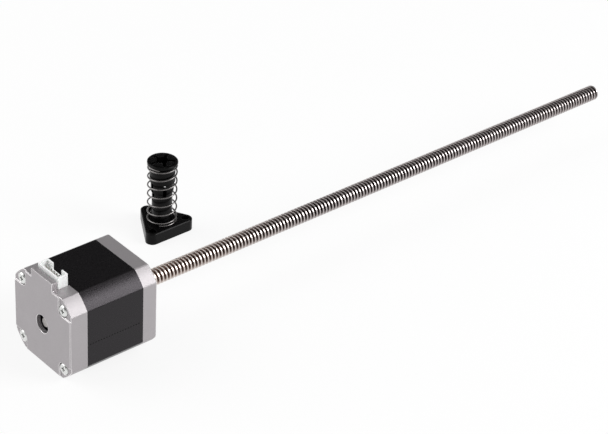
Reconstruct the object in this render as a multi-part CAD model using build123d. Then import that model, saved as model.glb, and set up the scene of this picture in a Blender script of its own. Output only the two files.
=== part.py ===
from build123d import *
import os
from math import cos, pi, radians, sin, sqrt, tan

# A stepping motor of the 42 mm square size whose shaft is a long trapezoidal
# lead screw, with its spring-loaded flange nut standing beside it.
# Millimetres. X runs along the screw towards its free end, and x = 0 is the
# motor's mounting face. Z is up: the motor lies on one flat with its
# connector on top. The nut stands on its flange, its own axis along Z.

# Motor body
frame_width = 42.3
corner_cut = 6.6
front_cover_length = 7.5
stack_length = 30.0
rear_cover_length = 9.2
front_corner_round = 2.0
rear_corner_round = 0.9
cover_edge_break = 0.4
front_plate = 3.0
rear_plate = 3.2
cavity_margin = 1.3
pilot_boss_diameter = 22.0
pilot_boss_height = 2.0
pilot_boss_edge = 0.3
screw_opening_diameter = 12.0
rear_hole_diameter = 9.0
hub_wall = 2.0
hub_lip = 0.3

# Screws through the body, and the pockets that hold their heads
screw_inset = 5.65
face_hole_diameter = 2.5
face_hole_depth = 4.5
screw_tip_gap = 0.1
body_screw_shank = 2.9
body_screw_hole = 3.2
body_screw_head = 5.6
body_screw_head_height = 2.5
head_below_face = 0.05
pocket_depth = 0.6
pocket_corner_radius = 3.0
head_pocket_gap = 0.25
head_edge = 0.5
driver_recess_width = 0.7
driver_recess_reach = 2.6
driver_recess_depth = 1.1

# Stator stack: poles, shoes and teeth, the main sizes as shares of the square
pole_count = 8
teeth_per_pole = 6
tooth_pitch_angle = 7.2
stator_tooth_angle = 3.4
stator_bore_share = 0.265
slot_bottom_share = 0.402
limb_share = 0.118
stator_tooth_depth = 0.6
shoe_height = 1.6

# Bobbins and windings
bobbin_plate = 0.8
bobbin_rim_wall = 0.9
bobbin_rim_height = 4.0
bobbin_leg = 0.4
bobbin_flange_overhang = 1.4
bobbin_flange_wall = 0.9
coil_gap = 0.8
coil_corner = 1.2
coil_play = 0.1

# Rotor
air_gap = 0.12
rotor_tooth_count = 50
rotor_tooth_angle = 3.2
rotor_tooth_depth = 0.65
rotor_end_inset = 1.0
magnet_length = 2.0
magnet_inset = 1.6
spacer_wall = 1.0

# Lead screw
screw_diameter = 8.0
thread_pitch = 2.0
screw_reach = 306.0
screw_tip_chamfer = 0.8
thread_start = 1.2
relief_length = 1.5
relief_diameter = 6.0
rear_journal_diameter = 5.0
rear_shoulder_gap = 2.4
shaft_end_recess = 1.5
shaft_end_chamfer = 0.4

# Bearings
bearing_outside = 16.0
bearing_width = 5.0
front_bearing_depth = 0.6
front_ball = 2.4
front_ball_count = 9
rear_ball = 3.0
rear_ball_count = 7
groove_clearance = 0.04
land_share = 0.34
shield_thickness = 0.25
shield_inset = 0.15
shield_gap = 0.12
cage_wall = 0.7
cage_rim = 0.4
pocket_clearance = 0.05
facets_round = 8
wire_facets = 4

# Washer that loads the rear bearing
washer_thickness = 0.25
washer_bow = 0.45
washer_wall = 1.9
washer_edge_gap = 0.15

# Connector on the rear cover
tongue_width = 15.6
tongue_thickness = 2.7
tongue_height = 4.2
tongue_edge = 0.3
housing_width = 15.0
housing_depth = 5.6
housing_height = 7.0
housing_wall = 0.75
housing_floor = 1.5
housing_edge = 0.35
housing_sink = 1.15
housing_play = 0.15
housing_front_gap = 0.3
latch_opening_width = 6.8
latch_opening_sill = 3.3
pin_count = 6
pin_spacing = 2.0
pin_size = 0.5
pin_hole_play = 0.05
pin_top_below_rim = 1.0
pin_tail = 0.45
board_thickness = 1.5
board_margin = 0.5
terminal_block_width = 11.0
terminal_block_length = 2.4
terminal_block_gap = 0.05

# Flange nut
nut_place_x = 60.6
nut_place_y = 54.7
flange_bolt_circle = 23.0
flange_hole_diameter = 3.6
flange_corner_radius = 3.4
flange_thickness = 5.9
flange_edge = 0.4
stem_diameter = 10.0
nut_height = 39.5
finger_diameter = 11.2
finger_start = 23.0
finger_step = 0.6
finger_lip = 0.4
finger_lip_height = 0.6
slot_count = 5
slot_width = 1.8
slot_start = 20.4
first_slot_angle = 245.8

# Collar that the spring pushes up the fingers
collar_diameter = 15.0
collar_head = 1.3
collar_length = 10.8
collar_wall = 0.55
collar_fit = 0.1
collar_top_below_nut = 0.2
collar_stop_gap = 0.05
collar_edge = 0.3

# Spring round the nut
spring_outside = 14.8
spring_wire = 0.75
spring_turns = 6
spring_end_gap = 0.05
spring_start_angle = 200.0

# Places worked out from the sizes above
half_width = frame_width / 2
stator_bore_radius = frame_width * stator_bore_share
slot_bottom_radius = frame_width * slot_bottom_share
limb_width = frame_width * limb_share
shoe_outer_radius = stator_bore_radius + shoe_height
cavity_radius = slot_bottom_radius + cavity_margin
stack_front = -front_cover_length
stack_back = stack_front - stack_length
stack_middle = stack_front - stack_length / 2
rear_face = stack_back - rear_cover_length
screw_offset = half_width - screw_inset
screw_spacing = 2 * screw_offset
hub_radius = bearing_outside / 2 + hub_wall

rotor_front = stack_front - rotor_end_inset
rotor_back = stack_back + rotor_end_inset
rotor_radius = stator_bore_radius - air_gap
core_length = (rotor_front - rotor_back - magnet_length) / 2

front_bearing_front = -front_bearing_depth
front_bearing_back = front_bearing_front - bearing_width
rear_bearing_front = rotor_back - rear_shoulder_gap
rear_bearing_back = rear_bearing_front - bearing_width
washer_room = washer_thickness + washer_bow
rear_seat_floor = rear_bearing_back - washer_room
shaft_end = rear_face + shaft_end_recess
front_pitch_radius = (screw_diameter + bearing_outside) / 4
rear_pitch_radius = (rear_journal_diameter + bearing_outside) / 4

head_seat = rear_face + head_below_face + body_screw_head_height
screw_tip = -(face_hole_depth + screw_tip_gap)

housing_base = half_width - housing_sink
housing_front = stack_back - housing_front_gap
housing_back = housing_front - housing_depth
housing_middle = housing_front - housing_depth / 2
housing_top = housing_base + housing_height
cavity_floor = rear_face + rear_plate
board_base = housing_base - board_thickness
rim_outer_radius = slot_bottom_radius + bobbin_rim_wall - coil_play

collar_top = nut_height - collar_top_below_nut
collar_seat = nut_height - finger_lip_height - collar_stop_gap
collar_head_base = collar_top - collar_head
collar_base = collar_top - collar_length
collar_bore = finger_diameter / 2 + collar_fit
spring_radius = (spring_outside - spring_wire) / 2
nut_bore = screw_diameter - thread_pitch


def slab(sketch, start, length):
    """Push a sketch drawn across the screw from x = start towards +X."""
    return extrude(Plane.YZ.offset(start) * sketch, amount=length)


def tube(outer_radius, inner_radius, start, length):
    """A plain ring round the screw's axis."""
    return slab(Circle(outer_radius) - Circle(inner_radius), start, length)


def block(x_from, x_to, y_from, y_to, z_from, z_to):
    """A box between two corners."""
    box = Box(x_to - x_from, y_to - y_from, z_to - z_from)
    return Pos((x_from + x_to) / 2, (y_from + y_to) / 2, (z_from + z_to) / 2) * box


def wedge(angle, reach):
    """A sector of a circle, centred on the sketch's Y direction."""
    half = Pos(0, reach) * Rectangle(4 * reach, 2 * reach)
    left = Rot(0, 0, angle / 2 - 90) * half
    right = Rot(0, 0, 90 - angle / 2) * half
    return Circle(reach) & left & right


def frame_outline():
    """The square section, its corners cut by one large circle round the screw's axis."""
    corner_reach = sqrt(half_width**2 + (half_width - corner_cut) ** 2)
    return Rectangle(frame_width, frame_width) & Circle(corner_reach)


def cover_outline(corner_round):
    """The same section with softened corners, as cast."""
    outline = frame_outline()
    return fillet(outline.vertices(), corner_round)


def at_corners(sketch):
    """Four copies of a sketch, centred on the body screws."""
    return [spot * sketch for spot in GridLocations(screw_spacing, screw_spacing, 2, 2)]


def front_cover():
    cover = slab(cover_outline(front_corner_round), stack_front, front_cover_length)
    cover = chamfer(cover.faces().sort_by(Axis.X)[-1].edges(), cover_edge_break)
    boss = slab(Circle(pilot_boss_diameter / 2), 0, pilot_boss_height)
    boss = chamfer(boss.faces().sort_by(Axis.X)[-1].edges(), pilot_boss_edge)
    hub_end = front_bearing_back - hub_lip
    cavity = tube(cavity_radius, hub_radius, stack_front, front_cover_length - front_plate)
    beyond_hub = slab(Circle(cavity_radius), stack_front, hub_end - stack_front)
    seat = slab(Circle(bearing_outside / 2), stack_front, front_bearing_front - stack_front)
    opening_length = front_cover_length + pilot_boss_height
    opening = slab(Circle(screw_opening_diameter / 2), stack_front, opening_length)
    face_holes = at_corners(Circle(face_hole_diameter / 2))
    inner_holes = at_corners(Circle(body_screw_hole / 2))
    cover = cover + boss - cavity - beyond_hub - seat - opening
    cover -= [slab(hole, -face_hole_depth, face_hole_depth) for hole in face_holes]
    return cover - [slab(hole, stack_front, front_cover_length - face_hole_depth) for hole in inner_holes]


def head_pocket():
    """The shallow corner recess round one screw head, for the +Y +Z corner."""
    reach = half_width - screw_offset + pocket_corner_radius
    middle = half_width - reach / 2
    pocket = Pos(middle, middle) * Rectangle(reach, reach)
    inner_corner = pocket.vertices().sort_by(lambda corner: corner.X + corner.Y)[0]
    return fillet(inner_corner, pocket_corner_radius)


def rear_cover():
    cover = slab(cover_outline(rear_corner_round), rear_face, rear_cover_length)
    cover = chamfer(cover.faces().sort_by(Axis.X)[0].edges(), cover_edge_break)
    tongue = block(
        rear_face, rear_face + tongue_thickness,
        -tongue_width / 2, tongue_width / 2,
        half_width - rear_plate, half_width + tongue_height,
    )
    tongue = fillet(tongue.faces().sort_by(Axis.Z)[-1].edges(), tongue_edge)
    hub_end = rear_bearing_front + hub_lip
    cavity = tube(cavity_radius, hub_radius, cavity_floor, stack_back - cavity_floor)
    beyond_hub = slab(Circle(cavity_radius), hub_end, stack_back - hub_end)
    seat = slab(Circle(bearing_outside / 2), rear_seat_floor, stack_back - rear_seat_floor)
    opening = slab(Circle(rear_hole_diameter / 2), rear_face, rear_cover_length)
    notch_half = housing_width / 2 + housing_play
    notch_base = sqrt(cavity_radius**2 - notch_half**2)
    notch = block(cavity_floor, stack_back, -notch_half, notch_half, notch_base, 2 * half_width)
    pockets = [
        slab(Rot(0, 0, turn) * head_pocket(), rear_face, pocket_depth)
        for turn in range(0, 360, 90)
    ]
    sink = Circle(body_screw_head / 2 + head_pocket_gap)
    sinks = [slab(spot, rear_face, head_seat - rear_face) for spot in at_corners(sink)]
    holes = [slab(hole, rear_face, rear_cover_length) for hole in at_corners(Circle(body_screw_hole / 2))]
    return cover + tongue - cavity - beyond_hub - seat - opening - notch - pockets - sinks - holes


def toothed_circle(radius, tooth_count):
    """A many-sided outline with one flat for each tooth, the first flat on the sketch's Y axis."""
    return Rot(0, 0, 90) * RegularPolygon(radius, tooth_count, major_radius=False, rotation=180 / tooth_count)


def tooth_gap(gap_angle, radius, depth):
    """The straight-sided gap between two teeth, centred on the sketch's Y axis."""
    width = 2 * radius * sin(radians(gap_angle / 2))
    return Pos(0, radius) * Rectangle(width, 2 * depth)


def pole_shoe():
    """One pole with its toothed shoe, pointing along the sketch's Y."""
    span = (teeth_per_pole - 1) * tooth_pitch_angle + stator_tooth_angle
    limb = Pos(0, (stator_bore_radius + slot_bottom_radius) / 2)
    limb = limb * Rectangle(limb_width, slot_bottom_radius - stator_bore_radius + limb_width / 2)
    shoe = wedge(span, shoe_outer_radius)
    middle_turn = (teeth_per_pole - 1) / 2 * tooth_pitch_angle
    bore = Rot(0, 0, middle_turn) * toothed_circle(stator_bore_radius, round(360 / tooth_pitch_angle))
    gap = tooth_gap(tooth_pitch_angle - stator_tooth_angle, stator_bore_radius, stator_tooth_depth)
    first_gap = -(teeth_per_pole - 2) / 2 * tooth_pitch_angle
    gaps = [Rot(0, 0, first_gap + step * tooth_pitch_angle) * gap for step in range(teeth_per_pole - 1)]
    return limb + shoe - bore - gaps


def stator_stack():
    profile = frame_outline() - Circle(slot_bottom_radius)
    poles = [Rot(0, 0, turn * 360 / pole_count) * pole_shoe() for turn in range(pole_count)]
    profile = profile + poles - at_corners(Circle(body_screw_hole / 2))
    return slab(profile, stack_back, stack_length)


def round_the_poles(shape):
    """One copy of a solid at each pole; the first points up."""
    return [Rot(turn * 360 / pole_count, 0, 0) * shape for turn in range(pole_count)]


def coil():
    """The loop of wire round the upper pole."""
    inner_width = limb_width + 2 * (bobbin_leg + coil_play)
    inner_length = stack_length + 2 * (bobbin_plate + coil_play)
    base = shoe_outer_radius + coil_play
    outer_width = 2 * base * tan(pi / pole_count) - coil_gap
    outer = Rectangle(inner_length + outer_width - inner_width, outer_width)
    outer = chamfer(outer.vertices(), coil_corner)
    inner = Rectangle(inner_length, inner_width)
    top = sqrt(slot_bottom_radius**2 - (outer_width / 2) ** 2) - 2 * coil_play
    return extrude(Plane.XY.offset(base) * (Pos(stack_middle, 0) * (outer - inner)), amount=top - base)


def windings():
    return Compound(children=round_the_poles(coil()))


def bobbin(face, outward):
    """The insulator on one end of the stack; outward is +1 at the front, -1 at the rear."""
    def span(x_from, x_to, *sides):
        ends = sorted((face + outward * x_from, face + outward * x_to))
        return block(*ends, *sides)

    rim_start = min(face, face + outward * bobbin_rim_height)
    shape = tube(rim_outer_radius, rim_outer_radius - bobbin_rim_wall, rim_start, bobbin_rim_height)
    spoke_half = limb_width / 2 + bobbin_leg
    flange_half = limb_width / 2 + bobbin_flange_overhang
    spoke = span(
        0, bobbin_plate, -spoke_half, spoke_half,
        shoe_outer_radius - bobbin_flange_wall, slot_bottom_radius,
    )
    flange = span(
        0, bobbin_rim_height, -flange_half, flange_half,
        shoe_outer_radius - bobbin_flange_wall, shoe_outer_radius,
    )
    leg_top = sqrt(slot_bottom_radius**2 - spoke_half**2) - coil_play
    legs = [
        span(-stack_length / 2 + coil_play, bobbin_plate, *sides, shoe_outer_radius + coil_play, leg_top)
        for sides in ((-spoke_half, -limb_width / 2), (limb_width / 2, spoke_half))
    ]
    for piece in (spoke, flange, *legs):
        shape += round_the_poles(piece)
    return shape


def front_bobbin():
    return bobbin(stack_front, 1)


def rear_bobbin():
    terminal_block = block(
        stack_back - terminal_block_length, stack_back,
        -terminal_block_width / 2, terminal_block_width / 2,
        rim_outer_radius - bobbin_rim_wall + terminal_block_gap, board_base,
    )
    return bobbin(stack_back, -1) + terminal_block


def pin_places():
    """Centres of the connector pins along Y."""
    return [(number - (pin_count - 1) / 2) * pin_spacing for number in range(pin_count)]


def pin_bars(size, z_from, z_to):
    return [
        block(housing_middle - size / 2, housing_middle + size / 2, y - size / 2, y + size / 2, z_from, z_to)
        for y in pin_places()
    ]


def connector_housing():
    half = housing_width / 2
    body = block(housing_back, housing_front, -half, half, housing_base, housing_top)
    body = chamfer(body.edges().filter_by(Axis.Z), housing_edge)
    inside = block(
        housing_back + housing_wall, housing_front - housing_wall,
        housing_wall - half, half - housing_wall,
        housing_base + housing_floor, housing_top,
    )
    latch_opening = block(
        housing_front - housing_wall, housing_front,
        -latch_opening_width / 2, latch_opening_width / 2,
        housing_base + latch_opening_sill, housing_top,
    )
    pin_holes = pin_bars(pin_size + pin_hole_play, housing_base, housing_base + housing_floor)
    return body - inside - latch_opening - pin_holes


def connector_board():
    half = housing_width / 2 - board_margin
    board = block(housing_back, housing_front, -half, half, board_base, housing_base)
    return board - pin_bars(pin_size + pin_hole_play, board_base, housing_base)


def connector_pins():
    return Compound(children=pin_bars(pin_size, board_base - pin_tail, housing_top - pin_top_below_rim))


def body_screw():
    """One pan-head screw on the screw's axis, ready to be set in its corner."""
    head_top = head_seat - body_screw_head_height
    head = slab(Circle(body_screw_head / 2), head_top, body_screw_head_height)
    head = chamfer(head.faces().sort_by(Axis.X)[0].edges(), head_edge)
    shank = slab(Circle(body_screw_shank / 2), head_seat, screw_tip - head_seat)
    bar = Rectangle(driver_recess_reach, driver_recess_width)
    cross = bar + Rot(0, 0, 90) * bar
    return head + shank - slab(cross, head_top, driver_recess_depth)


def body_screws():
    corners = GridLocations(screw_spacing, screw_spacing, 2, 2)
    return Compound(children=[Pos(0, spot.position.X, spot.position.Y) * body_screw() for spot in corners])


def facet_reach(radius):
    """Corner radius of the many-sided outline whose flats touch a circle."""
    return radius / cos(pi / facets_round)


def ball_track(pitch_radius, ball, back):
    """The groove in which a bearing's balls run, as a section in the XZ plane."""
    groove = RegularPolygon(facet_reach(ball / 2 + groove_clearance), facets_round, rotation=180 / facets_round)
    return Pos(back + bearing_width / 2, pitch_radius) * groove


def ring_section(outer, inner, start, length):
    return Pos(start + length / 2, (outer + inner) / 2) * Rectangle(length, outer - inner)


def outer_ring(pitch_radius, ball, back):
    """The still ring, with the two thin shields that are crimped into it."""
    land = pitch_radius + land_share * ball
    section = ring_section(bearing_outside / 2, land, back, bearing_width)
    section -= ball_track(pitch_radius, ball, back)
    shield_edge = pitch_radius - land_share * ball + shield_gap
    for start in (back + shield_inset, back + bearing_width - shield_inset - shield_thickness):
        section += ring_section(land, shield_edge, start, shield_thickness)
    return revolve(Plane.XZ * section, Axis.X)


def inner_ring(bore, pitch_radius, ball, back):
    section = ring_section(pitch_radius - land_share * ball, bore / 2, back, bearing_width)
    return revolve(Plane.XZ * (section - ball_track(pitch_radius, ball, back)), Axis.X)


def round_the_track(shape, count, pitch_radius, back):
    """Copies of a shape at the ball places of a bearing."""
    middle = back + bearing_width / 2
    return [Rot(turn * 360 / count, 0, 0) * Pos(middle, 0, pitch_radius) * shape for turn in range(count)]


def balls(count, pitch_radius, ball, back):
    """Balls built from many-sided rings, so that a full set stays light."""
    rings = []
    for step in range(1, facets_round, 2):
        slope = radians(step * 180 / facets_round - 90)
        ring = RegularPolygon(ball / 2 * cos(slope), facets_round)
        rings.append(Pos(0, 0, ball / 2 * sin(slope)) * ring)
    return Compound(children=round_the_track(loft(rings, ruled=True), count, pitch_radius, back))


def cage(count, pitch_radius, ball, back):
    """The ring that spaces the balls, with a window for each."""
    window = ball + 2 * pocket_clearance
    width = window + 2 * cage_rim
    start = back + (bearing_width - width) / 2
    ring = tube(pitch_radius + cage_wall / 2, pitch_radius - cage_wall / 2, start, width)
    return ring - round_the_track(Box(window, window, ball), count, pitch_radius, back)


def wave_washer():
    """A ring cut from a gently bowed sheet, pressed between seat and bearing."""
    outer = bearing_outside / 2 - washer_edge_gap
    bow_radius = (outer**2 + washer_bow**2) / (2 * washer_bow)
    sheet = Circle(bow_radius) - Circle(bow_radius - washer_thickness)
    bowed = extrude(Plane.XZ * (Pos(rear_bearing_back - bow_radius, 0) * sheet), amount=bearing_outside, both=True)
    return tube(outer, outer - washer_wall, rear_seat_floor, washer_room) & bowed


def rotor_core(start, turn):
    """One toothed half of the rotor."""
    pitch_angle = 360 / rotor_tooth_count
    gap = tooth_gap(pitch_angle - rotor_tooth_angle, rotor_radius, rotor_tooth_depth)
    gaps = [Rot(0, 0, (step + 0.5) * pitch_angle) * gap for step in range(rotor_tooth_count)]
    profile = toothed_circle(rotor_radius, rotor_tooth_count) - gaps - Circle(screw_diameter / 2)
    return slab(Rot(0, 0, turn) * profile, start, core_length)


def rotor_core_front():
    return rotor_core(rotor_front - core_length, 0)


def rotor_core_rear():
    return rotor_core(rotor_back, 180 / rotor_tooth_count)


def rotor_magnet():
    return tube(rotor_radius - magnet_inset, screw_diameter / 2, rotor_back + core_length, magnet_length)


def front_spacer():
    radius = screw_diameter / 2
    return tube(radius + spacer_wall, radius, rotor_front, front_bearing_back - rotor_front)


def lead_screw():
    """Thread, front journal, rotor seat and rear journal, turned from one bar."""
    bar = slab(Circle(screw_diameter / 2), rear_bearing_front, screw_reach - rear_bearing_front)
    bar = chamfer(bar.faces().sort_by(Axis.X)[-1].edges(), screw_tip_chamfer)
    journal = slab(Circle(rear_journal_diameter / 2), shaft_end, rear_bearing_front - shaft_end)
    journal = chamfer(journal.faces().sort_by(Axis.X)[0].edges(), shaft_end_chamfer)
    radius = screw_diameter / 2
    relief = tube(radius, relief_diameter / 2, thread_start - relief_length, relief_length)
    return bar + journal - relief


def upright(radius, z_from, z_to):
    """A cylinder on the nut's own axis."""
    return Pos(0, 0, (z_from + z_to) / 2) * Cylinder(radius, z_to - z_from)


def beside_motor(shape):
    """Stand a piece of the nut on the table beside the motor."""
    return Pos(nut_place_x, nut_place_y, -half_width) * shape


def flanged_nut():
    corners = Rot(0, 0, 90) * RegularPolygon(flange_bolt_circle / 2, 3)
    flange = extrude(offset(corners, flange_corner_radius), amount=flange_thickness)
    flange = chamfer(flange.faces().sort_by(Axis.Z)[-1].edges(), flange_edge)
    stem = upright(stem_diameter / 2, 0, finger_start)
    step_radius = finger_diameter / 2
    step = Pos(0, 0, finger_start - finger_step / 2) * Cone(stem_diameter / 2, step_radius, finger_step)
    fingers = upright(step_radius, finger_start, nut_height)
    lip = upright(step_radius + finger_lip, nut_height - finger_lip_height, nut_height)
    bore = upright(nut_bore / 2, 0, nut_height)
    slot = block(0, collar_diameter, -slot_width / 2, slot_width / 2, slot_start, nut_height)
    slots = [Rot(0, 0, first_slot_angle + turn * 360 / slot_count) * slot for turn in range(slot_count)]
    hole = upright(flange_hole_diameter / 2, 0, flange_thickness)
    holes = [Rot(0, 0, 90 + turn * 120) * Pos(flange_bolt_circle / 2, 0, 0) * hole for turn in range(3)]
    return beside_motor(flange + stem + step + fingers + lip - bore - slots - holes)


def preload_collar():
    head = upright(collar_diameter / 2, collar_head_base, collar_top)
    head = chamfer(head.edges(), collar_edge)
    skirt = upright(collar_bore + collar_wall, collar_base, collar_head_base + collar_edge)
    bore = upright(collar_bore, collar_base, collar_top)
    lip_room = upright(collar_bore + finger_lip + collar_stop_gap, collar_seat, collar_top)
    return beside_motor(head + skirt - bore - lip_room)


def preload_spring():
    """A round wire wound right-handed, with a flat turn at each end."""
    lower = flange_thickness + spring_wire / 2
    upper = collar_head_base - spring_end_gap - spring_wire / 2
    path = Helix(pitch=(upper - lower) / spring_turns, height=upper - lower, radius=spring_radius)
    section = Plane(origin=path @ 0, z_dir=path % 0) * RegularPolygon(spring_wire / 2, wire_facets)
    coil_turns = Pos(0, 0, lower) * sweep(section, path=path, is_frenet=True)
    ring = revolve(Plane.XZ * (Pos(spring_radius, 0) * RegularPolygon(spring_wire / 2, wire_facets)), Axis.Z)
    ends = [Pos(0, 0, height) * ring for height in (lower, upper)]
    return beside_motor(Rot(0, 0, spring_start_angle) * (coil_turns + ends))


front_track = (front_pitch_radius, front_ball, front_bearing_back)
rear_track = (rear_pitch_radius, rear_ball, rear_bearing_back)

parts = {
    "front_cover": front_cover(),
    "stator_stack": stator_stack(),
    "rear_cover": rear_cover(),
    "front_bobbin": front_bobbin(),
    "rear_bobbin": rear_bobbin(),
    "windings": windings(),
    "connector_board": connector_board(),
    "connector_housing": connector_housing(),
    "connector_pins": connector_pins(),
    "body_screws": body_screws(),
    "front_bearing_outer_ring": outer_ring(*front_track),
    "front_bearing_inner_ring": inner_ring(screw_diameter, *front_track),
    "front_bearing_balls": balls(front_ball_count, *front_track),
    "front_bearing_cage": cage(front_ball_count, *front_track),
    "rear_bearing_outer_ring": outer_ring(*rear_track),
    "rear_bearing_inner_ring": inner_ring(rear_journal_diameter, *rear_track),
    "rear_bearing_balls": balls(rear_ball_count, *rear_track),
    "rear_bearing_cage": cage(rear_ball_count, *rear_track),
    "wave_washer": wave_washer(),
    "rotor_core_front": rotor_core_front(),
    "rotor_core_rear": rotor_core_rear(),
    "rotor_magnet": rotor_magnet(),
    "front_spacer": front_spacer(),
    "lead_screw": lead_screw(),
    "flanged_nut": flanged_nut(),
    "preload_spring": preload_spring(),
    "preload_collar": preload_collar(),
}

os.makedirs("parts", exist_ok=True)
for name, shape in parts.items():
    export_step(shape, f"parts/{name}.step")
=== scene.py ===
import bpy
import bmesh
import numpy as np
from mathutils import Matrix, Vector

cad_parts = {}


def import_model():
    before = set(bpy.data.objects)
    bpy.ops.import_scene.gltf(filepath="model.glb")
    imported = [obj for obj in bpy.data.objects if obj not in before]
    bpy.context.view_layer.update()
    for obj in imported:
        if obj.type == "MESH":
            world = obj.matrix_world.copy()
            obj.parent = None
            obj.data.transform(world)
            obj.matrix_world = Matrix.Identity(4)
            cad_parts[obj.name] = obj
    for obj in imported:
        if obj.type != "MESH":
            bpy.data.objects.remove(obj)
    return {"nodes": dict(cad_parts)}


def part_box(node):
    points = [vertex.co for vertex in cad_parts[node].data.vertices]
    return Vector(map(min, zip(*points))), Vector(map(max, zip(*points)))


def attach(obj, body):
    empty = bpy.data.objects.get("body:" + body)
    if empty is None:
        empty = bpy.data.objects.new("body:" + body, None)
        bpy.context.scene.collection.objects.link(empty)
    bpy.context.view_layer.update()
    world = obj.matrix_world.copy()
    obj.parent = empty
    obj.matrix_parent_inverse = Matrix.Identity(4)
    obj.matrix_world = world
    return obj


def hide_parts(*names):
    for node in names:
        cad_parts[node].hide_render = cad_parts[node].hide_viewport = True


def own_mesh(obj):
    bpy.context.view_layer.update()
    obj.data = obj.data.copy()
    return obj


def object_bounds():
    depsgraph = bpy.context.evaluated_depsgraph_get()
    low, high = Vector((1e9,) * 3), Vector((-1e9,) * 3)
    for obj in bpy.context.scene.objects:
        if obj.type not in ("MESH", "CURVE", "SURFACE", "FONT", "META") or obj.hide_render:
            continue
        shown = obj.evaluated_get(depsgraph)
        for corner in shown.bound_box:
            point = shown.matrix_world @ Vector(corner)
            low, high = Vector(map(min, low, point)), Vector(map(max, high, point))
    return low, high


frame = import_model()
cad_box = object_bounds()

# The looks of a stepping motor with a lead screw and its flange nut.
# Lengths are in millimetres until a mesh is written, which is in metres. Angles are in degrees.
MM = 0.001
TURN = 2 * np.pi

# Lead screw: a rolled trapezoidal thread with turned journals inside the motor
thread_pitch = 2.0
thread_starts = 1
thread_crest_radius = 4.0
thread_root_radius = 2.75
thread_crest_flat = 0.7
thread_flank = 0.32
thread_start = 1.2
thread_edge_rounding = 0.06
thread_crest_drop = 0.05
thread_close_run = 1.0
screw_columns = 40
relief_radius = 3.0
relief_length = 1.5
rear_journal_radius = 2.5
journal_chamfer = 0.4
tip_chamfer = 0.8
# the grooves' painted shade fades from brown to near black over this distance from the motor
brown_reach = 110.0

# Spring round the nut
wire_radius = 0.375
spring_active_turns = 6
spring_closed_turns = 1.0
spring_closed_rise = 1.15
spring_opening_start = 0.8
spring_opening_end = 1.3
spring_start_angle = 222.0
spring_rows_per_turn = 36
wire_columns = 12

# Staking marks that hold the laminations together, one row on each side of the stack
stake_offsets = (-2.3, -3.3, -2.3, -3.3)
stake_spacing = 1.45
stake_length = 0.8
stake_width = 0.6
stake_rise = 0.03
stake_margin = 1.6
stake_rings = 4
stake_columns = 12

# Edges: widths of the rounding, and how deep from the end faces the edges get a painted highlight
bright_edge_width = 0.5
bright_edge_band = 1.0
moulded_edge_width = 0.2
lacquer_edge_width = 0.8
# share of the lacquer rounding that is kept along the stack
lacquer_end_share = 0.05
# agreement of the rounded and the own normal where an edge's painted highlight starts and where it is full
edge_start = 0.99
edge_full = 0.93
edge_samples = 8

# Patterns, in real sizes. Blasting, tool, drawing and grinding marks and oxide grain are really finer
# than 0.1 mm, and are drawn at 0.2 to 0.8 mm here and in the materials, so that they show.
sheet_thickness = 0.5
sheet_groove = 0.01
blast_grain = 0.45
blast_depth = 0.03
casting_cloud = 7.0
lacquer_smudge = 0.5
tool_mark = 0.4
tool_depth = 0.004
# the thread's colour goes from the grooves' painted shade to the crest's colour between these distances from
# its root and its crest
groove_colour_end = 0.1
crest_colour_start = 0.05
paper_fibre = 30.0
noise_detail = 3.0
# a wave texture of scale 1 repeats at this distance
wave_period = np.pi / 10

# Meshes, in metres: points this near are one, and edges this short are dropped
merge_distance = 1e-7
sliver_length = 1e-8
sharp_edge_degrees = 35.0

# The camera that matches the photograph: its lens and sensor in millimetres, its reach in metres
camera_place = (-471.05, -633.55, 551.58)
camera_forward = (0.56436, 0.62168, -0.54314)
camera_up = (0.32094, 0.44094, 0.83819)
camera_lens = 126.2
sensor_width = 36.0
view_reach = 20.0

# Studio: strengths are shares of white, heights are sines above the horizon, half the floor in metres
floor_glow = 0.85
room_light = 0.45
wall_top = 0.1
gap_start = 0.3
gap_end = 0.7
overhead_start = 0.92
gap_light = 0.06
floor_half = 6.0


def linear(code):
    """Turn an sRGB hex colour to linear light, with full alpha."""
    channels = np.array([int(code[start:start + 2], 16) for start in (1, 3, 5)]) / 255
    light = np.where(channels <= 0.04045, channels / 12.92, ((channels + 0.055) / 1.055) ** 2.4)
    return (*light.tolist(), 1.0)


def set_inputs(tree, node, inputs):
    """Give each named or numbered socket its value, or link it when the value is another socket."""
    for key, value in dict(inputs).items():
        if isinstance(value, bpy.types.NodeSocket):
            tree.links.new(value, node.inputs[key])
        else:
            node.inputs[key].default_value = value


def add_node(tree, kind, inputs=(), **settings):
    """Add one shader node with its settings and inputs.

    A mix node has several sockets of one name, so its sockets go by number: 0 is the factor, 2 and 3
    are numbers, 4 and 5 vectors, 6 and 7 colours.
    """
    node = tree.nodes.new("ShaderNode" + kind)
    for name, value in settings.items():
        setattr(node, name, value)
    set_inputs(tree, node, inputs)
    return node


def new_material(name):
    """A material with its tree, its shader and the object's own coordinates."""
    material = bpy.data.materials.new(name)
    material.use_nodes = True
    tree = material.node_tree
    place = add_node(tree, "TexCoord").outputs["Object"]
    return material, tree, tree.nodes["Principled BSDF"], place


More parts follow.
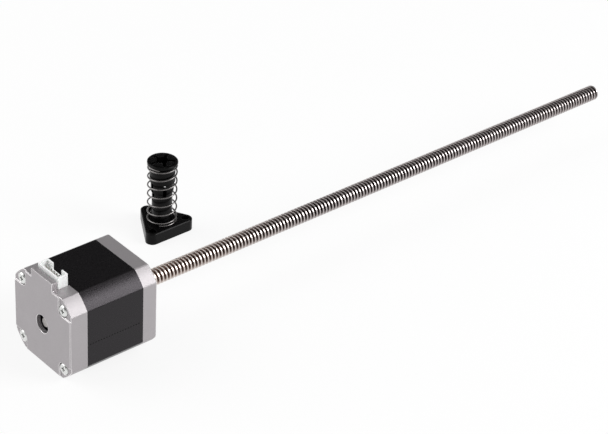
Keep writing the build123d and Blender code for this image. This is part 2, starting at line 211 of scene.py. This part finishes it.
def grained(name, dark, light, rough, grain, dent, edge_width=None, **shares):
    """A surface whose colour, roughness and height follow one noise pattern.

    Grain, dent and edge width are in millimetres. Shares are uniform shader values, with underscores for
    the spaces in their names.
    """
    material, tree, shader, place = new_material(name)
    noise = {"Vector": place, "Scale": 1 / (grain * MM), "Detail": noise_detail}
    pattern = add_node(tree, "TexNoise", noise).outputs["Fac"]
    tones = {0: pattern, 6: linear(dark), 7: linear(light)}
    colour = add_node(tree, "Mix", tones, data_type="RGBA").outputs[2]
    spread = {"Value": pattern, "To Min": rough[0], "To Max": rough[1]}
    roughness = add_node(tree, "MapRange", spread).outputs["Result"]
    bump = add_node(tree, "Bump", {"Height": pattern, "Distance": dent * MM, "Strength": 1.0})
    if edge_width:
        rounded = add_node(tree, "Bevel", {"Radius": edge_width * MM}, samples=edge_samples)
        set_inputs(tree, bump, {"Normal": rounded.outputs["Normal"]})
    set_inputs(tree, shader, {
        "Base Color": colour, "Roughness": roughness, "Normal": bump.outputs["Normal"],
    })
    for share, value in shares.items():
        shader.inputs[share.replace("_", " ")].default_value = value
    return material


def end_edges(tree, place):
    """How much a point is on an edge of the motor's end faces, where a highlight is painted, and the normal
    rounded there.
    """
    half_length = -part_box("rear_cover")[0][0] / 2
    along = add_node(tree, "SeparateXYZ", {"Vector": place}).outputs["X"]
    from_middle = add_node(tree, "Math", {0: along, 1: half_length}, operation="ADD").outputs[0]
    distance = add_node(tree, "Math", {0: from_middle}, operation="ABSOLUTE").outputs[0]
    band = {0: distance, 1: half_length - bright_edge_band * MM}
    near_end = add_node(tree, "Math", band, operation="GREATER_THAN").outputs[0]
    # on an edge the rounded normal leaves the face's own
    bevel = add_node(tree, "Bevel", {"Radius": bright_edge_width * MM}, samples=edge_samples)
    rounded = bevel.outputs["Normal"]
    own = add_node(tree, "NewGeometry").outputs["Normal"]
    match = add_node(tree, "VectorMath", {0: rounded, 1: own}, operation="DOT_PRODUCT").outputs["Value"]
    limits = {"Value": match, "From Min": edge_start, "From Max": edge_full}
    edge = add_node(tree, "MapRange", limits).outputs["Result"]
    # this edge mask paints a highlight into the colour near the end faces
    painted_edge_highlight = add_node(tree, "Math", {0: edge, 1: near_end}, operation="MULTIPLY").outputs[0]
    normal = add_node(tree, "Mix", {0: near_end, 4: own, 5: rounded}, data_type="VECTOR").outputs[1]
    return painted_edge_highlight, normal


def cast_aluminium():
    """Die-cast aluminium, shot-blasted: soft grey sheen, fine grain, and a painted highlight along the edges
    at the ends.
    """
    material, tree, shader, place = new_material("blasted_cast_aluminium")
    blasting = {"Vector": place, "Scale": 1 / (blast_grain * MM), "Detail": noise_detail}
    fine = add_node(tree, "TexNoise", blasting).outputs["Fac"]
    clouds = {"Vector": place, "Scale": 1 / (casting_cloud * MM), "Detail": noise_detail}
    broad = add_node(tree, "TexNoise", clouds).outputs["Fac"]
    tone = add_node(tree, "Mix", {0: broad, 6: linear("#ABA7A9"), 7: linear("#B8B4B6")}, data_type="RGBA")
    speck = add_node(tree, "Mix", {0: fine, 6: linear("#9D999B"), 7: linear("#CBC7C9")}, data_type="RGBA")
    halves = {0: 0.5, 6: tone.outputs[2], 7: speck.outputs[2]}
    skin = add_node(tree, "Mix", halves, data_type="RGBA").outputs[2]
    painted_edge_highlight, normal = end_edges(tree, place)
    # painted highlight: edges near the end faces are blended to near white and made smoother
    colour = add_node(tree, "Mix", {0: painted_edge_highlight, 6: skin, 7: linear("#F6F3F4")}, data_type="RGBA")
    blasted = add_node(tree, "MapRange", {"Value": fine, "To Min": 0.5, "To Max": 0.62}).outputs["Result"]
    rough = add_node(tree, "Mix", {0: painted_edge_highlight, 2: blasted, 3: 0.4}, data_type="FLOAT")
    dents = {"Height": fine, "Distance": blast_depth * MM, "Strength": 1.0, "Normal": normal}
    bump = add_node(tree, "Bump", dents)
    set_inputs(tree, shader, {
        "Base Color": colour.outputs[2], "Metallic": 1.0,
        "Roughness": rough.outputs[0], "Normal": bump.outputs["Normal"],
    })
    return material


def lamination_steel():
    """Stamped silicon steel under glossy black lacquer: a soft broken reflection over fine sheet lines."""
    material, tree, shader, place = new_material("black_lacquered_laminations")
    # one band for each sheet
    scale = wave_period / (sheet_thickness * MM)
    bands = {"Vector": place, "Scale": scale, "Distortion": 0.3, "Detail": 1.0}
    sheets = add_node(tree, "TexWave", bands, bands_direction="X").outputs["Fac"]
    smudges = {"Vector": place, "Scale": 1 / (lacquer_smudge * MM), "Detail": noise_detail}
    smudge = add_node(tree, "TexNoise", smudges).outputs["Fac"]
    colour = add_node(tree, "Mix", {0: smudge, 6: linear("#050505"), 7: linear("#0D0B0D")}, data_type="RGBA")
    rough = add_node(tree, "MapRange", {"Value": smudge, "To Min": 0.2, "To Max": 0.38})
    height = add_node(tree, "Math", {0: sheets, 1: smudge}, operation="ADD")
    # lacquer gathers on the long edges and rounds them; the ends stay square against the covers
    bevel = add_node(tree, "Bevel", {"Radius": lacquer_edge_width * MM}, samples=edge_samples)
    across = {0: bevel.outputs["Normal"], 1: (lacquer_end_share, 1, 1)}
    flat = add_node(tree, "VectorMath", across, operation="MULTIPLY").outputs[0]
    normal = add_node(tree, "VectorMath", {0: flat}, operation="NORMALIZE").outputs[0]
    relief = {"Height": height.outputs[0], "Distance": sheet_groove * MM, "Strength": 1.0, "Normal": normal}
    bump = add_node(tree, "Bump", relief)
    set_inputs(tree, shader, {
        "Base Color": colour.outputs[2], "Specular IOR Level": 0.32, "Specular Tint": linear("#FFF6FF"),
        "Roughness": rough.outputs["Result"], "Normal": bump.outputs["Normal"],
    })
    return material


def thread_steel():
    """Rolled carbon steel: pale crests, grooves painted darker as shade, browner near the motor, and bare
    turned ends.
    """
    material, tree, shader, place = new_material("rolled_thread_steel")
    axes = add_node(tree, "SeparateXYZ", {"Vector": place}).outputs
    across = add_node(tree, "CombineXYZ", {"Y": axes["Y"], "Z": axes["Z"]}).outputs["Vector"]
    reach = add_node(tree, "VectorMath", {0: across}, operation="LENGTH").outputs["Value"]
    low = (thread_root_radius + groove_colour_end) * MM
    high = (thread_crest_radius - crest_colour_start) * MM
    rise = {"Value": reach, "From Min": low, "From Max": high}
    height = add_node(tree, "MapRange", rise).outputs["Result"]
    along = {"Value": axes["X"], "From Min": 0.0, "From Max": brown_reach * MM}
    far = add_node(tree, "MapRange", along).outputs["Result"]
    # painted shade: the grooves are coloured darker than the crests, brown near the motor and near black
    # further out
    painted_groove_shade = add_node(tree, "Mix", {0: far, 6: linear("#8D776E"), 7: linear("#3C3330")}, data_type="RGBA")
    crest = add_node(tree, "Mix", {0: far, 6: linear("#DDD3CC"), 7: linear("#B9B2B1")}, data_type="RGBA")
    depths = {0: height, 6: painted_groove_shade.outputs[2], 7: crest.outputs[2]}
    thread = add_node(tree, "Mix", depths, data_type="RGBA")
    behind = {0: axes["X"], 1: thread_start * MM}
    journal = add_node(tree, "Math", behind, operation="LESS_THAN").outputs[0]
    tip_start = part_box("lead_screw")[1][0] - tip_chamfer * MM
    tip = add_node(tree, "Math", {0: axes["X"], 1: tip_start}, operation="GREATER_THAN").outputs[0]
    turned = add_node(tree, "Math", {0: journal, 1: tip}, operation="MAXIMUM").outputs[0]
    colour = add_node(tree, "Mix", {0: turned, 6: thread.outputs[2], 7: linear("#ABA7A5")}, data_type="RGBA")
    marks = {"Vector": place, "Scale": 1 / (tool_mark * MM), "Detail": noise_detail}
    fine = add_node(tree, "TexNoise", marks).outputs["Fac"]
    rough = add_node(tree, "MapRange", {"Value": fine, "To Min": 0.22, "To Max": 0.34})
    bump = add_node(tree, "Bump", {"Height": fine, "Distance": tool_depth * MM, "Strength": 1.0})
    set_inputs(tree, shader, {
        "Base Color": colour.outputs[2], "Metallic": 1.0,
        "Roughness": rough.outputs["Result"], "Normal": bump.outputs["Normal"],
    })
    return material


def white_nylon():
    """Natural white moulded nylon: light soaks in a little, so its shaded sides stay pale."""
    return grained(
        "moulded_white_nylon", "#F6F8F7", "#FBFBFB", rough=(0.3, 0.4), grain=4.0, dent=0.01, IOR=1.53,
        Subsurface_Weight=0.3, Subsurface_Scale=0.0006, Subsurface_Radius=(0.92, 1.0, 0.96),
    )


def black_acetal():
    """Moulded black acetal: a deep satin black with a faint oily gloss and soft edges."""
    return grained(
        "moulded_black_acetal", "#040404", "#090809", rough=(0.22, 0.34), grain=1.5, dent=0.01,
        edge_width=moulded_edge_width, IOR=1.48, Specular_IOR_Level=0.13,
    )


def natural_nylon():
    """Moulded cream nylon of the bobbins: dull and even."""
    return grained(
        "moulded_natural_nylon", "#CFC9B6", "#DAD4C2", rough=(0.4, 0.55), grain=1.0, dent=0.01, IOR=1.53,
    )


def board_laminate():
    """Glass-fibre board under green solder lacquer: dark and slightly shiny."""
    return grained("lacquered_board_laminate", "#123B1E", "#1A4A28", rough=(0.4, 0.55), grain=1.0, dent=0.01)


def zinc_plate():
    """Zinc-plated pan-head screws: bright, slightly blurred silver-white."""
    return grained(
        "zinc_plated_steel", "#DDDEDC", "#ECEDEB", rough=(0.28, 0.4), grain=0.5, dent=0.01, Metallic=1.0,
    )


def spring_wire():
    """Drawn spring steel, its colour darkened to dark grey as painted shade for dark surroundings in its
    reflections, with sharp bright lines along the wire.
    """
    # painted shade: the dark grey stands in for dark surroundings seen in the wire
    return grained(
        "drawn_spring_steel", "#747271", "#868382", rough=(0.2, 0.3), grain=0.5, dent=0.003, Metallic=1.0,
    )


def bearing_steel():
    """Ground bearing steel: a clear, almost mirror-like grey."""
    return grained(
        "ground_bearing_steel", "#A9A9AB", "#B4B4B6", rough=(0.12, 0.2), grain=0.5, dent=0.002, Metallic=1.0,
    )


def cage_steel():
    """Pressed steel of the ball cages: duller than the rings."""
    return grained(
        "pressed_cage_steel", "#9C9A97", "#A8A6A3", rough=(0.3, 0.4), grain=0.6, dent=0.005, Metallic=1.0,
    )


def rotor_steel():
    """Stamped and ground rotor laminations: a plain mid-grey."""
    return grained(
        "stamped_rotor_steel", "#7C7C7E", "#8A8A8C", rough=(0.3, 0.45), grain=0.5, dent=0.01, Metallic=1.0,
    )


def magnet_plate():
    """Nickel-plated sintered magnet: darker than steel, with a blurred sheen."""
    return grained(
        "nickel_plated_magnet", "#6A6A6C", "#7A7A7C", rough=(0.25, 0.35), grain=0.8, dent=0.004, Metallic=1.0,
    )


def turned_brass():
    """Turned brass of the spacer: warm yellow with a fine tool sheen."""
    return grained(
        "turned_brass", "#B8923F", "#C9A552", rough=(0.22, 0.32), grain=0.4, dent=0.006, Metallic=1.0,
    )


def pin_brass():
    """Tin-plated brass pins: pale and bright."""
    return grained(
        "tin_plated_pin_brass", "#BFBDB6", "#D0CEC8", rough=(0.18, 0.28), grain=0.4, dent=0.004, Metallic=1.0,
    )


def copper_wire():
    """Enamelled copper wire: red-brown under clear enamel, with the turns' ridges as coarse grain."""
    return grained(
        "enamelled_copper_wire", "#8E4A24", "#B0602F", rough=(0.25, 0.35), grain=0.4, dent=0.05, Metallic=1.0,
    )


def stake_oxide():
    """Black oxide on the staked spots: matt, so they are pale on the dark top and dark on the glossy side."""
    return grained(
        "black_oxide_steel", "#0F0E0F", "#191719", rough=(0.7, 0.9), grain=0.2, dent=0.005,
        Specular_IOR_Level=0.1,
    )


def make_piece(name, grids, material, body):
    """One object from closed grids of points in millimetres, with its seams and poles merged."""
    points = []
    faces = []
    count = 0
    for grid in grids:
        rows, columns = grid.shape[:2]
        corner = (np.arange(rows - 1)[:, None] * columns + np.arange(columns - 1)).ravel() + count
        points.append(grid.reshape(-1, 3) * MM)
        faces.append(np.stack([corner, corner + 1, corner + columns + 1, corner + columns], axis=1))
        count += rows * columns
    mesh = bpy.data.meshes.new(name)
    mesh.from_pydata(np.vstack(points), [], np.vstack(faces))
    shape = bmesh.new()
    shape.from_mesh(mesh)
    bmesh.ops.remove_doubles(shape, verts=shape.verts, dist=merge_distance)
    bmesh.ops.dissolve_degenerate(shape, edges=shape.edges, dist=sliver_length)
    bmesh.ops.recalc_face_normals(shape, faces=shape.faces)
    shape.to_mesh(mesh)
    shape.free()
    mesh.shade_smooth()
    mesh.set_sharp_from_angle(angle=np.radians(sharp_edge_degrees))
    mesh.materials.append(material)
    piece = bpy.data.objects.new(name, mesh)
    bpy.context.scene.collection.objects.link(piece)
    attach(piece, body)
    return piece


def lathe_grid(stations, columns):
    """A profile of stations (x, r) turned round the screw's axis: y = r cos a and z = r sin a."""
    along, radius = np.array(stations, float).T
    angle = np.linspace(0, TURN, columns + 1)
    grid = np.empty((len(along), columns + 1, 3))
    grid[..., 0] = along[:, None]
    grid[..., 1] = radius[:, None] * np.cos(angle)
    grid[..., 2] = radius[:, None] * np.sin(angle)
    return grid


def thread_grid(x_start, x_end):
    """Thread surface: rows follow the helix, so the radius depends on the row alone.

    A row's place t runs along the screw; a point at angle a lies at x = t + lead * a / turn. The radius
    falls from crest to root over the flank as the distance to the nearest crest centre grows. Past each
    end x stays on the end plane while the radius runs down to the axis.
    """
    lead = thread_pitch * thread_starts
    half_crest = thread_crest_flat / 2
    root_edge = half_crest + thread_flank
    # five rows down one side of a crest and five up the next
    half = np.array([
        half_crest - thread_edge_rounding, half_crest, half_crest + thread_flank / 2,
        root_edge, root_edge + thread_edge_rounding,
    ])
    offsets = np.concatenate([half, thread_pitch - half[::-1]])
    # the first row lies wholly on the axis before the thread, and the last one past its tip
    first = np.floor((x_start - lead - thread_close_run - offsets[0]) / thread_pitch)
    last = np.ceil((x_end + thread_close_run - offsets[-1]) / thread_pitch)
    along = (np.arange(first, last + 1)[:, None] * thread_pitch + offsets).ravel()
    angle = np.linspace(0, TURN, screw_columns + 1)
    reach = along[:, None] + lead * angle / TURN

    away = np.abs((along + thread_pitch / 2) % thread_pitch - thread_pitch / 2)
    fall = np.clip((away - half_crest) / thread_flank, 0, 1)
    rounding = thread_crest_drop * np.clip((away - half_crest) / thread_edge_rounding + 1, 0, 1)
    depth = thread_crest_radius - thread_root_radius - thread_crest_drop
    radius = thread_crest_radius - rounding - depth * fall
    radius = np.repeat(radius[:, None], screw_columns + 1, axis=1)

    tip_radius = thread_crest_radius - tip_chamfer
    radius = np.minimum(radius, tip_radius + x_end - reach)
    radius = np.where(reach > x_end, tip_radius * (1 - (reach - x_end) / thread_close_run), radius)
    radius = np.where(reach < x_start, radius * (1 - (x_start - reach) / thread_close_run), radius)
    radius = np.clip(radius, 0, None)
    grid = np.empty(reach.shape + (3,))
    grid[..., 0] = np.clip(reach, x_start, x_end)
    grid[..., 1] = radius * np.cos(angle)
    grid[..., 2] = radius * np.sin(angle)
    return grid


def lead_screw(material):
    """The screw as one piece: turned journals inside the motor and the thread in front of it."""
    low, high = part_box("lead_screw")
    rear_end = low[0] / MM
    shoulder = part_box("rear_bearing_inner_ring")[1][0] / MM
    journal = [
        (rear_end, 0), (rear_end, rear_journal_radius - journal_chamfer),
        (rear_end + journal_chamfer, rear_journal_radius), (shoulder, rear_journal_radius),
        (shoulder, thread_crest_radius), (thread_start - relief_length, thread_crest_radius),
        (thread_start - relief_length, relief_radius), (thread_start, relief_radius), (thread_start, 0),
    ]
    grids = [lathe_grid(journal, screw_columns), thread_grid(thread_start, high[0] / MM)]
    piece = make_piece("threaded_lead_screw", grids, material, "rotor")
    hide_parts("lead_screw")


def preload_spring(material):
    """Tube round a helix whose height grows slowly over the closed end turns and faster between them.

    A ring point at angle b round the wire lies at the coil radius plus the wire radius times cos b from
    the axis, and the wire radius times sin b above the helix.
    """
    low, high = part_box("preload_spring")
    axis_x, axis_y = (low[0] + high[0]) / 2 / MM, (low[1] + high[1]) / 2 / MM
    coil_radius = (high[0] - low[0]) / 2 / MM - wire_radius
    bottom, top = low[2] / MM + wire_radius, high[2] / MM - wire_radius
    turns = spring_active_turns + 2 * spring_closed_turns
    turn = np.linspace(0, turns, int(turns * spring_rows_per_turn) + 1)
    open_share = np.interp(
        np.minimum(turn, turns - turn), [spring_opening_start, spring_opening_end], [0, 1],
    )
    step = np.diff(turn)
    share = (open_share[1:] + open_share[:-1]) / 2
    slow = np.concatenate([[0], np.cumsum(step * (1 - share) * spring_closed_rise)])
    fast = np.concatenate([[0], np.cumsum(step * share)])
    height = bottom + slow + fast * (top - bottom - slow[-1]) / fast[-1]

    angle = np.radians(spring_start_angle) + turn * TURN
    around = np.linspace(0, TURN, wire_columns + 1)
    reach = coil_radius + wire_radius * np.cos(around)
    tube = np.empty((len(turn), wire_columns + 1, 3))
    tube[..., 0] = axis_x + reach * np.cos(angle)[:, None]
    tube[..., 1] = axis_y + reach * np.sin(angle)[:, None]
    tube[..., 2] = height[:, None] + wire_radius * np.sin(around)
    # each end closes on the middle of its last ring
    start = np.broadcast_to(tube[0].mean(axis=0), (1, wire_columns + 1, 3))
    end = np.broadcast_to(tube[-1].mean(axis=0), (1, wire_columns + 1, 3))
    piece = make_piece("coil_spring", [np.concatenate([start, tube, end])], material, "nut")
    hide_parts("preload_spring")
    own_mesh(piece)


def stake_marks(material):
    """Rows of small oval beads on the stack: height is one minus the radius squared, over a flat base."""
    low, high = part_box("stator_stack")
    first, last = low[0] / MM + stake_margin, high[0] / MM - stake_margin
    dome = np.linspace(0, 1, stake_rings)
    radius = np.append(dome, 0)[:, None]
    height = np.append(1 - dome**2, 0)[:, None]
    angle = np.linspace(0, TURN, stake_columns + 1)
    beads = []
    for side, offset in enumerate(stake_offsets):
        bead = np.empty((stake_rings + 1, stake_columns + 1, 3))
        bead[..., 0] = stake_length / 2 * radius * np.cos(angle)
        bead[..., 1] = stake_width / 2 * radius * np.sin(angle) + offset
        bead[..., 2] = high[2] / MM + stake_rise * height
        cosine = np.cos(side * TURN / 4)
        sine = np.sin(side * TURN / 4)
        turned = bead @ np.array([[1, 0, 0], [0, cosine, sine], [0, -sine, cosine]])
        beads += [turned + (x, 0, 0) for x in np.arange(first, last, stake_spacing)]
    piece = make_piece("lamination_stake_marks", beads, material, "motor")


def dress_nodes(finishes):
    """Give each carried-over solid its finish."""
    for node, material in finishes.items():
        solid = frame["nodes"][node]
        solid.data.materials.clear()
        solid.data.materials.append(material)


def camera():
    """The camera from its measured place, direction and upright."""
    lens = bpy.data.cameras.new("photo_camera")
    lens.lens = camera_lens
    lens.sensor_width = sensor_width
    lens.clip_end = view_reach
    view = bpy.data.objects.new("photo_camera", lens)
    forward = Vector(camera_forward).normalized()
    right = forward.cross(Vector(camera_up)).normalized()
    turn = Matrix((right, right.cross(forward), -forward)).transposed().to_4x4()
    view.matrix_world = Matrix.Translation(Vector(camera_place) * MM) @ turn
    bpy.context.scene.collection.objects.link(view)
    bpy.context.scene.camera = view


def seen_directly(tree):
    """1 for rays that show the background itself, also by reflection or through glass, else 0."""
    path = add_node(tree, "LightPath").outputs
    seen = add_node(tree, "Math", {0: path["Is Camera Ray"], 1: path["Is Glossy Ray"]}, operation="ADD")
    ends = {0: seen.outputs[0], 1: path["Is Transmission Ray"]}
    return add_node(tree, "Math", ends, operation="ADD", use_clamp=True).outputs[0]


def studio_paper():
    """Smooth white studio paper that is seen as nearly pure white, with soft shadows."""
    material, tree, shader, place = new_material("white_studio_paper")
    fibres = {"Vector": place, "Scale": 1 / (paper_fibre * MM), "Detail": noise_detail}
    fibre = add_node(tree, "TexNoise", fibres).outputs["Fac"]
    colour = add_node(tree, "Mix", {0: fibre, 6: linear("#F4F4F4"), 7: linear("#F8F8F8")}, data_type="RGBA")
    set_inputs(tree, shader, {"Base Color": colour.outputs[2], "Roughness": 0.9, "Specular IOR Level": 0.0})
    glow = add_node(tree, "Emission", {"Color": (1, 1, 1, 1), "Strength": 1.0}).outputs["Emission"]
    share = add_node(tree, "Math", {0: seen_directly(tree), 1: floor_glow}, operation="MULTIPLY").outputs[0]
    surface = add_node(tree, "MixShader", {0: share, 1: shader.outputs["BSDF"], 2: glow}).outputs[0]
    set_inputs(tree, tree.nodes["Material Output"], {"Surface": surface})
    return material


def floor():
    """A wide white floor under the lowest point of the object."""
    height = cad_box[0][2]
    mesh = bpy.data.meshes.new("studio_floor")
    signs = [(-1, -1), (1, -1), (1, 1), (-1, 1)]
    corners = [(x * floor_half, y * floor_half, height) for x, y in signs]
    mesh.from_pydata(corners, [], [(0, 1, 2, 3)])
    mesh.materials.append(studio_paper())
    sheet = bpy.data.objects.new("studio_floor", mesh)
    bpy.context.scene.collection.objects.link(sheet)


def lamp(name, place, size, power):
    """A soft square lamp aimed at the origin; lengths in metres, power in watts."""
    light = bpy.data.lights.new(name, "AREA")
    light.size = size
    light.energy = power
    holder = bpy.data.objects.new(name, light)
    place = Vector(place)
    holder.matrix_world = Matrix.Translation(place) @ (-place).to_track_quat("-Z", "Y").to_matrix().to_4x4()
    bpy.context.scene.collection.objects.link(holder)


def world():
    """Studio surroundings: a white wall and a white overhead sheet, dark between them, and an even light."""
    surroundings = bpy.data.worlds.new("studio")
    surroundings.use_nodes = True
    bpy.context.scene.world = surroundings
    tree = surroundings.node_tree
    tree.nodes.clear()
    place = add_node(tree, "TexCoord").outputs["Generated"]
    rise = add_node(tree, "SeparateXYZ", {"Vector": place}).outputs["Z"]
    fall = {"Value": rise, "From Min": wall_top, "From Max": gap_start, "To Min": 1.0, "To Max": gap_light}
    wall = add_node(tree, "MapRange", fall).outputs["Result"]
    sheet = add_node(tree, "MapRange", {"Value": rise, "From Min": gap_end, "From Max": overhead_start})
    strength = add_node(tree, "Math", {0: wall, 1: sheet.outputs["Result"]}, operation="ADD").outputs[0]
    white = add_node(tree, "Background", {"Color": (1, 1, 1, 1), "Strength": strength}).outputs[0]
    soft = add_node(tree, "Background", {"Color": (1, 1, 1, 1), "Strength": room_light}).outputs[0]
    mix = add_node(tree, "MixShader", {0: seen_directly(tree), 1: soft, 2: white}).outputs[0]
    add_node(tree, "OutputWorld", {"Surface": mix})


aluminium = cast_aluminium()
acetal = black_acetal()
bobbin_nylon = natural_nylon()
ring_steel = bearing_steel()
pressed_steel = cage_steel()
core_steel = rotor_steel()
spring_steel = spring_wire()

dress_nodes({
    "front_cover": aluminium,
    "rear_cover": aluminium,
    "stator_stack": lamination_steel(),
    "front_bobbin": bobbin_nylon,
    "rear_bobbin": bobbin_nylon,
    "windings": copper_wire(),
    "connector_board": board_laminate(),
    "connector_housing": white_nylon(),
    "connector_pins": pin_brass(),
    "body_screws": zinc_plate(),
    "front_bearing_outer_ring": ring_steel,
    "front_bearing_inner_ring": ring_steel,
    "front_bearing_balls": ring_steel,
    "rear_bearing_outer_ring": ring_steel,
    "rear_bearing_inner_ring": ring_steel,
    "rear_bearing_balls": ring_steel,
    "front_bearing_cage": pressed_steel,
    "rear_bearing_cage": pressed_steel,
    "wave_washer": spring_steel,
    "rotor_core_front": core_steel,
    "rotor_core_rear": core_steel,
    "rotor_magnet": magnet_plate(),
    "front_spacer": turned_brass(),
    "flanged_nut": acetal,
    "preload_collar": acetal,
})
lead_screw(thread_steel())
preload_spring(spring_steel)
stake_marks(stake_oxide())

camera()
floor()
world()
lamp("large_softbox", place=(0.95, -1.1, 0.88), size=0.9, power=19.5)
lamp("edge_light", place=(-0.85, 0.97, 0.88), size=1.3, power=12.5)
bpy.context.scene.view_settings.view_transform = "Standard"
